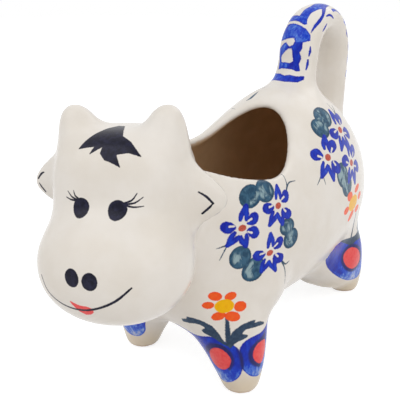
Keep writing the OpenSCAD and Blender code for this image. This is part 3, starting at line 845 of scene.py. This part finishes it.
TAIL_BLOCK = pairs(
    -8.2, 31.0, -5.9, 31.4, -0.6, 30.4, 1.6, 29.5, 2.4, 29.8, 1.9, 31.2, 1.9, 33.4, 2.9, 35.7, 3.9, 37.3,
    3.2, 41.8, 0.4, 41.8, -0.2, 39.0, 0.0, 36.8, -0.9, 35.0, -1.1, 32.3, -3.6, 33.2, -6.5, 34.0, -8.4,
    33.6)
# Points, widths and wash of each stroke
TAIL_STROKES = (
    (pairs(4.5, 27.9, 5.0, 30.0, 5.6, 32.4, 5.5, 34.6, 4.6, 36.6, 3.4, 38.5, 2.6, 41.8),
     (0.15, 0.5, 0.62, 0.5, 0.6, 0.8, 0.9), 0.72),
    (pairs(-6.6, 36.5, -5.6, 39.0, -5.9, 41.8), (0.3, 0.6, 0.7), 0.5),
    *((pairs(x, a, x + 0.2 * np.sign(x), (a + b) / 2, x, b), (0.25, 0.48, 0.2), 0.8)
      for x, a, b in ((5.2, 16.6, 20.6), (5.4, 21.8, 24.2), (-8.4, 16.6, 20.6), (-8.5, 21.8, 24.8),
                      (-8.9, 27.0, 30.0), (8.9, 30.5, 34.0))),
    (pairs(6.6, 35.6, 7.2, 37.6, 8.9, 39.0), (0.25, 0.55, 0.35), 0.75))


def tail_paint(c):
    """A collar, a frame, a block and strokes in blue on the outer side of the tail."""
    idx = np.flatnonzero((c.p[:, 2] > 62) & (c.p[:, 1] > 28) & (np.abs(c.p[:, 0]) < TAIL_NEAR))
    p = c.p[idx]
    place, turn, _ = tail_frame(np.linspace(0, 1, 600))
    arc = np.concatenate([[0], np.cumsum(norm(np.diff(place, axis=0), axis=1))])
    near = np.empty(len(p), int)
    batch = 4000
    for i in range(0, len(p), batch):
        near[i:i + batch] = ((p[i:i + batch, None, 1:] - place[None, :, 1:]) ** 2).sum(-1).argmin(1)
    d = p - place[near]
    o = -d[:, 1] * np.cos(turn[near]) + d[:, 2] * np.sin(turn[near])
    ok = (norm(d, axis=1) < TAIL_NEAR) & (o > -4.2)
    idx, o, d, near = idx[ok], o[ok], d[ok], near[ok]
    side = np.arctan2(d[:, 0] / (TAIL_W / 2), o / (TAIL_T / 2)) * 6.0
    for end in (1, -1):
        s = arc[near] if end > 0 else 2 * TAIL_TOP - arc[near]
        q = np.stack([side * end, s], 1)
        across = np.clip((side * end + 6) / 9, 0, 1)
        half = s < TAIL_TOP + 0.8

        def add(shape, wash):
            c.put("cobalt", idx[half], shape[half])
            inside = half & (shape < 0.3)
            c.wash[idx[inside]] = np.broadcast_to(wash, len(s))[inside]
        add(polygon(q, TAIL_COLLAR), 0.35 + 0.65 * across)
        add(polygon(q, TAIL_FRAME), 0.45 + 0.55 * smooth((across - 0.45) / 0.3) * (s < 25))
        for hole in (TAIL_HOLE, TAIL_SLOT):
            c.cut("cobalt", idx[s < TAIL_TOP], polygon(q, hole)[s < TAIL_TOP])
        add(polygon(q, TAIL_BLOCK), 0.5)
        for pts, radii, wash in TAIL_STROKES:
            add(stroke(q, pts, radii), wash)


def paint(pts, nrm):
    c = Canvas(pts, nrm)
    for mirror in (False, True):
        flank(c, mirror)
    for _, side in SIDES:
        front_leg_paint(c, side)
        rear_leg_paint(c, side)
    face(c)
    tail_paint(c)
    return c


def refine(verts, normal, tris, label, near, longest):
    """Splits the edges that come close to the edge of a stroke."""
    e = np.sort(edges_of(tris), 1)
    _, first, inv = np.unique(e[:, 0] * len(verts) + e[:, 1], return_index=True, return_inverse=True)
    ends = e[first]
    long = norm(verts[ends[:, 0]] - verts[ends[:, 1]], axis=1)
    flag = (np.minimum(near[ends[:, 0]], near[ends[:, 1]]) < long) & (long > longest)
    new = np.full(len(ends), -1)
    new[flag] = len(verts) + np.arange(flag.sum())
    mid = settle(verts[ends[flag]].mean(1), 2)
    m = new[inv.reshape(-1)].reshape(3, -1).T
    count = (m >= 0).sum(1)
    out, lab = [tris[count == 0]], [label[count == 0]]
    for k in (1, 2, 3):
        sel = np.flatnonzero(count == k)
        t, mm = tris[sel], m[sel]
        # One split edge is brought to the first place, one whole edge to the last
        shift = {1: (mm >= 0).argmax(1), 2: ((mm < 0).argmax(1) + 1) % 3, 3: np.zeros(len(sel), int)}[k]
        i = (shift[:, None] + np.arange(3)) % 3
        a, b, c = np.take_along_axis(t, i, 1).T
        p, q, r = np.take_along_axis(mm, i, 1).T
        sets = {1: [(a, p, c), (p, b, c)], 2: [(a, p, c), (p, q, c), (p, b, q)],
                3: [(a, p, r), (p, b, q), (r, q, c), (p, q, r)]}[k]
        for tri in sets:
            out.append(np.stack(tri, 1))
            lab.append(label[sel])
    verts, normal = np.concatenate([verts, mid]), np.concatenate([normal, unit(slope(clay, mid))])
    return verts, normal, np.concatenate(out), np.concatenate(lab)


def closest(c, names):
    return np.min([np.abs(c.d[k]) for k in names], axis=0)


# Rounds of splitting: the paints whose edges count, the longest edge left there and a factor for how near
ROUNDS = ((PAINTS, 0.5, 1.0), (PAINTS, 0.35, 0.75), (("ink",), 0.18, 1.0))
canvas = paint(verts, normal)
for _paints, _longest, _share in ROUNDS:
    _near = closest(canvas, _paints) / _share
    verts, normal, tris, label = refine(verts, normal, tris, label, _near, _longest)
    canvas = paint(verts, normal)


# What the glaze reads at each point: the paints, how the clay bulges, how deep it lies inside and how high
BULGE, DEEPEST, GROUND_SHADE_TOP = 0.45, 6, 15
# How the clay bulges or dips; the dips get painted shade in the glaze
bulge = np.clip(sample(blur(clay, 9), verts) / BULGE, -1, 1)
outer = np.minimum(sample(SOLIDS["body_shell"], verts), sample(SOLIDS["head_shell"], verts))
depth = np.clip(np.maximum(sample(void, verts), outer + 1.0), -1, DEEPEST)
# Height over the ground, for the painted shade near it and for the bare feet
height = np.clip(verts[:, 2], 0, GROUND_SHADE_TOP)
ATTRS = {**canvas.d, "wash": canvas.wash, "bulge": bulge, "depth": depth, "height": height}


def open_loops(f):
    """The loops of edges that only one face has, in the direction that the faces run."""
    e = edges_of(f).astype(np.int64)
    n = int(f.max()) + 1
    free = e[~np.isin(e[:, 0] * n + e[:, 1], e[:, 1] * n + e[:, 0])]
    follow = {}
    for a, b in free.tolist():
        follow.setdefault(a, []).append(b)
    loops = []
    while follow:
        start = next(iter(follow))
        loop, v = [start], start
        while True:
            nxt = follow[v].pop()
            if not follow[v]:
                del follow[v]
            if nxt == start:
                break
            loop.append(nxt)
            v = nxt
        loops.append(loop)
    return loops


def zipped(pts, first, second, axis):
    """Faces between two loops that go round the same axis."""
    axis = axis / norm(axis)
    u = np.cross(axis, [0, 0, 1.0])
    u /= norm(u)
    v = np.cross(axis, u)
    mid = pts[first].mean(0)

    def ordered(loop):
        d = pts[loop] - mid
        a = np.unwrap(np.arctan2(d @ v, d @ u))
        ahead = a[-1] > a[0]
        loop = np.array(loop if ahead else loop[::-1])
        a = np.arctan2((pts[loop] - mid) @ v, (pts[loop] - mid) @ u)
        k = int(a.argmin())
        return np.roll(loop, -k), np.unwrap(np.roll(a, -k)), ahead
    (la, aa, fa), (lb, ab, _) = ordered(first), ordered(second)
    la, lb = np.append(la, la[0]), np.append(lb, lb[0])
    aa, ab = np.append(aa, aa[0] + 2 * math.pi), np.append(ab, ab[0] + 2 * math.pi)
    i = j = 0
    out = []
    while i < len(la) - 1 or j < len(lb) - 1:
        if j == len(lb) - 1 or (i < len(la) - 1 and aa[i + 1] <= ab[j + 1]):
            out.append((la[i + 1], la[i], lb[j]))
            i += 1
        else:
            out.append((lb[j], lb[j + 1], la[i]))
            j += 1
    out = np.array(out)
    return out if fa else out[:, ::-1]


def close_piece(name, f):
    """The faces of a piece with its joints closed, and the points added for it."""
    extra, parts = [], [f]
    loops = open_loops(f)
    if name in ("body_shell", "head_shell"):
        neck = np.array([0, NECK_Y, THROAT_Z])
        near = sorted(loops, key=lambda l: norm(verts[l].mean(0) - neck))[:2]
        big, small = sorted(near, key=len, reverse=True)
        parts.append(zipped(verts, big, small, NECK_AXIS))
        loops = [l for l in loops if l is not big and l is not small]
    for loop in loops:
        a = np.array(loop)
        hub = np.full(len(a), len(verts) + len(extra))
        extra.append(a)
        parts.append(np.stack([np.roll(a, -1), a, hub], 1))
    return np.concatenate(parts), extra


def add_object(name, data):
    obj = bpy.data.objects.new(name, data)
    bpy.context.scene.collection.objects.link(obj)
    return obj


def make_piece(name, material):
    f, extra = close_piece(name, tris[label == NAMES.index(name)])
    add = np.array([verts[a].mean(0) for a in extra]).reshape(-1, 3)
    pts, nrm = np.concatenate([verts, add]), np.concatenate([normal, np.tile([0, 0, 1.0], (len(extra), 1))])
    used, inv = np.unique(f.reshape(-1), return_inverse=True)
    f = inv.reshape(-1, 3)
    mesh = bpy.data.meshes.new(name + "_glazed")
    mesh.from_pydata((pts[used] * MM).tolist(), [], f.tolist(), shade_flat=False)
    mesh.validate()
    mesh.normals_split_custom_set_from_vertices(nrm[used].astype(np.float32).tolist())
    for key, value in ATTRS.items():
        full = np.concatenate([value, [value[a].mean() for a in extra]])[used].astype(np.float32)
        mesh.attributes.new(key, "FLOAT", "POINT").data.foreach_set("value", full)
    obj = add_object(name + "_glazed", mesh)
    mesh.materials.append(material)
    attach(obj, "root")
    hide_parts(name)
    print(name, len(mesh.polygons), "loops", len(extra))


def empty_tree(owner):
    owner.use_nodes = True
    owner.node_tree.nodes.clear()
    return owner.node_tree


def node(tree, kind, ins=None, **props):
    """The outputs of a new node with values or links at its inputs."""
    n = tree.nodes.new("ShaderNode" + kind)
    for k, v in props.items():
        setattr(n, k, v)
    for k, v in (ins or {}).items():
        if isinstance(v, bpy.types.NodeSocket):
            tree.links.new(v, n.inputs[k])
        else:
            n.inputs[k].default_value = v
    return n.outputs


def glaze():
    """The glaze and the colours under it. Colours are linear."""
    mat = bpy.data.materials.new("hand_painted_glaze")
    t = empty_tree(mat)
    where = node(t, "TexCoord")["Object"]

    def noise(scale, detail=3.0, rough=0.55, stretch=None, bent=0.0):
        vec = where
        if stretch:
            vec = node(t, "Mapping", {"Vector": where, "Scale": stretch})[0]
        ins = {"Vector": vec, "Scale": scale, "Detail": detail, "Roughness": rough, "Distortion": bent}
        return node(t, "TexNoise", ins)[0]

    def attr(name):
        return node(t, "Attribute", attribute_name=name)["Fac"]

    def times(a, b):
        return node(t, "Math", {0: a, 1: b}, operation="MULTIPLY")[0]

    def plus(a, b):
        return node(t, "Math", {0: a, 1: b}, operation="ADD")[0]

    def scaled(a, by, offset):
        return node(t, "Math", {0: a, 1: by, 2: offset}, operation="MULTIPLY_ADD")[0]

    def ramp(value, lo, hi, a=0.0, b=1.0, kind="SMOOTHSTEP"):
        ins = {"Value": value, "From Min": lo, "From Max": hi, "To Min": a, "To Max": b}
        return node(t, "MapRange", ins, interpolation_type=kind)[0]

    def colour_of(v):
        return v if isinstance(v, bpy.types.NodeSocket) else (*v, 1)

    def mix(fac, a, b):
        ins = {0: fac, 6: colour_of(a), 7: colour_of(b)}
        return node(t, "Mix", ins, data_type="RGBA", clamp_factor=True)[2]

    def blend(fac, a, b):
        return node(t, "Mix", {0: fac, 2: a, 3: b}, data_type="FLOAT")[0]

    def dent(strength, distance, ins):
        return node(t, "Bump", {"Strength": strength, "Distance": distance, **ins})[0]

    fine, brush, cloud = noise(2600, 2), noise(900, 3, 0.6), noise(90, 3)
    wobble = scaled(fine, 0.34, -0.17)

    def mask(name, soft=0.13, wob=1.0):
        """1 inside a painted shape."""
        return ramp(plus(attr(name), times(wobble, wob)), soft, -soft)

    def rim(name, width):
        """1 at the edge of a painted shape, 0 further in."""
        return ramp(plus(attr(name), times(wobble, 1.4)), -width, 0.05)

    # Cream glaze, a little uneven and with specks, with painted warm shade in dents and near the ground
    cream = mix(ramp(cloud, 0.3, 0.7), (0.80, 0.762, 0.715), (0.755, 0.708, 0.645))
    # Painted shade: darker and warmer where the clay dips in
    cream = mix(ramp(attr("bulge"), -0.1, -0.9, 0, 0.45), cream, (0.68, 0.605, 0.51))
    # Painted shade: darker and warmer low down, most near the ground
    cream = mix(ramp(attr("height"), 14.0, 2.0, 0, 0.6), cream, (0.72, 0.58, 0.38))
    cells = node(t, "TexVoronoi", {"Vector": where, "Scale": 210.0, "Randomness": 1.0})
    speck = times(ramp(cells["Distance"], 0.05, 0.028), ramp(cells["Color"], 0.72, 0.8, kind="LINEAR"))
    colour = mix(times(speck, 0.4), cream, (0.34, 0.25, 0.17))

    # Teal leaves: dark outlines and a streaky pale middle
    streak = noise(360, 3, 0.6, (1.0, 1.0, 0.6), 0.6)
    pale = times(ramp(streak, 0.48, 0.62), ramp(attr("leaf"), -0.6, -1.4))
    leaf = mix(ramp(noise(700, 3), 0.35, 0.65), (0.016, 0.06, 0.115), (0.042, 0.12, 0.2))
    leaf = mix(times(pale, 0.8), leaf, (0.34, 0.47, 0.50))
    leaf = mix(times(rim("leaf", 0.75), 0.75), leaf, (0.012, 0.045, 0.09))
    colour = mix(mask("leaf"), colour, leaf)

    # Cobalt: full where the brush was loaded, washed out where it ran dry
    run = noise(760, 4, 0.65, (1.0, 1.0, 0.45))
    load = plus(attr("wash"), scaled(run, 2.1, -1.1))
    load = plus(load, times(rim("cobalt", 0.55), 0.5))
    blue = mix(ramp(load, 0.02, 0.5, kind="LINEAR"), (0.10, 0.24, 0.72), (0.008, 0.05, 0.55))
    blue = mix(ramp(load, 0.5, 1.15, kind="LINEAR"), blue, (0.004, 0.013, 0.35))
    thin = times(mask("cobalt", 0.14), ramp(load, -0.3, 0.2, 0.45, 1.0))
    colour = mix(thin, colour, blue)

    def layer(name, grain, span, tones, edge=None, cover=1.0, soft=0.13, wob=1.0):
        """The colours so far under a paint of two tones, with another tone at its edge."""
        paint = mix(ramp(grain, *span), *tones)
        if edge:
            width, share, tone = edge
            paint = mix(times(rim(name, width), share), paint, tone)
        return mix(times(mask(name, soft, wob), cover), colour, paint)

    # Stems, daisies, the rings and red spots of the lobes, the flowers' dots and the lines of the face
    colour = layer("slate", brush, (0.35, 0.7), ((0.022, 0.045, 0.09), (0.04, 0.075, 0.13)))
    colour = layer("orange", brush, (0.35, 0.7), ((0.88, 0.085, 0.012), (0.87, 0.125, 0.018)),
                   (0.5, 0.5, (0.80, 0.05, 0.010)))
    colour = layer("yellow", brush, (0.4, 0.75), ((0.88, 0.47, 0.0), (0.85, 0.41, 0.0)))
    colour = layer("navy", run, (0.35, 0.7), ((0.012, 0.010, 0.07), (0.02, 0.02, 0.14)), cover=0.9, soft=0.4)
    colour = layer("red", brush, (0.3, 0.75), ((0.80, 0.06, 0.065), (0.85, 0.11, 0.10)),
                   (0.45, 0.4, (0.72, 0.045, 0.055)))
    colour = layer("brick", fine, (0.35, 0.7), ((0.43, 0.062, 0.04), (0.62, 0.13, 0.085)))
    colour = layer("ink", brush, (0.35, 0.75), ((0.007, 0.007, 0.018), (0.018, 0.018, 0.045)), soft=0.09,
                   wob=0.55)

    # Brown inside the hollow, starting just under the lip
    edge = plus(attr("depth"), scaled(noise(240, 3), 0.12, -0.06))
    brown = mix(ramp(noise(150, 4), 0.3, 0.7), (0.58, 0.40, 0.235), (0.63, 0.44, 0.265))
    within = ramp(edge, 0.30, 0.10)
    colour = mix(within, colour, brown)

    # Bare clay where the feet stood in the kiln
    foot = plus(attr("height"), scaled(noise(500, 3), 0.5, -0.25))
    bare = ramp(foot, 0.7, 0.45)
    colour = mix(ramp(foot, 1.5, 0.8, 0, 0.6), colour, (0.52, 0.33, 0.19))
    clay_tone = mix(ramp(fine, 0.3, 0.7), (0.42, 0.27, 0.165), (0.58, 0.41, 0.27))
    colour = mix(bare, colour, clay_tone)

    gloss = blend(bare, blend(within, 0.24, 0.55), 0.8)
    relief = dent(0.35, 0.00005, {"Height": noise(430, 2)})
    relief = dent(0.25, 0.00003, {"Height": thin, "Normal": relief})
    shader = node(t, "BsdfPrincipled", {"Base Color": colour, "Roughness": gloss, "IOR": 1.5,
                                        "Specular IOR Level": 0.15, "Normal": relief})
    node(t, "OutputMaterial", {0: shader[0]})
    return mat


GLAZE = glaze()
for _name in NAMES:
    make_piece(_name, GLAZE)


def seen_straight(t):
    """1 for rays from the camera, and for those that come off or through something on their way."""
    path = node(t, "LightPath")
    seen = node(t, "Math", {0: path["Is Camera Ray"], 1: path["Is Glossy Ray"]}, operation="MAXIMUM")
    both = node(t, "Math", {0: seen[0], 1: path["Is Transmission Ray"]}, operation="MAXIMUM")
    return both[0]


def plain_floor():
    mesh = bpy.data.meshes.new("studio_floor")
    s, z = 3.0, -0.0001
    mesh.from_pydata([(-s, -s, z), (s, -s, z), (s, s, z), (-s, s, z)], [], [(0, 1, 2, 3)])
    mat = bpy.data.materials.new("studio_floor")
    t = empty_tree(mat)
    lit = node(t, "BsdfDiffuse", {"Color": (0.8, 0.79, 0.78, 1)})
    part = node(t, "BsdfDiffuse", {"Color": (0.42, 0.44, 0.47, 1)})
    glow = node(t, "Emission", {"Color": (1, 1, 1, 1), "Strength": 0.8})
    both = node(t, "AddShader", {0: part[0], 1: glow[0]})
    pick = node(t, "MixShader", {0: seen_straight(t), 1: lit[0], 2: both[0]})
    node(t, "OutputMaterial", {0: pick[0]})
    mesh.materials.append(mat)
    add_object("studio_floor", mesh)


def world_light():
    world = bpy.data.worlds.new("studio")
    bpy.context.scene.world = world
    t = empty_tree(world)
    soft = node(t, "Background", {"Color": (1.0, 0.99, 0.975, 1), "Strength": 0.64})
    plain = node(t, "Background", {"Color": (1, 1, 1, 1), "Strength": 1.0})
    pick = node(t, "MixShader", {0: seen_straight(t), 1: soft[0], 2: plain[0]})
    node(t, "OutputWorld", {0: pick[0]})


LAMP_AIM = Vector((0, 0, 0.05))


def lamp(name, place, size, power, tint=(1, 1, 1)):
    data = bpy.data.lights.new(name, "AREA")
    data.shape, data.size, data.energy, data.color = "DISK", size, power, tint
    obj = add_object(name, data)
    obj.location = place
    obj.rotation_euler = (LAMP_AIM - Vector(place)).to_track_quat("-Z", "Y").to_euler()


plain_floor()
world_light()
lamp("key", (-0.3, -0.6, 0.85), 0.9, 2.8)
lamp("fill", (0.85, -0.2, 0.6), 0.9, 2.6, (1.0, 0.98, 0.95))
lamp("back", (0.1, 0.7, 0.7), 0.5, 1.0)

# The photograph's camera: its turn from straight ahead, how far it looks down, its place and its lens
CAM_TURN, CAM_DOWN = math.radians(36.77), math.radians(19.78)
CAM_PLACE, CAM_LENS, CAM_SENSOR, CAM_NEAR = (0.09177, -0.13955, 0.1072), 50.04, 36.0, 0.01
cam_data = bpy.data.cameras.new("camera")
cam_data.lens, cam_data.sensor_width, cam_data.clip_start = CAM_LENS, CAM_SENSOR, CAM_NEAR
camera = add_object("camera", cam_data)
_turned = Matrix.Rotation(CAM_TURN, 4, "Z") @ Matrix.Rotation(math.pi / 2 - CAM_DOWN, 4, "X")
camera.matrix_world = Matrix.Translation(CAM_PLACE) @ _turned
bpy.context.scene.camera = camera
bpy.context.scene.view_settings.view_transform = "Standard"
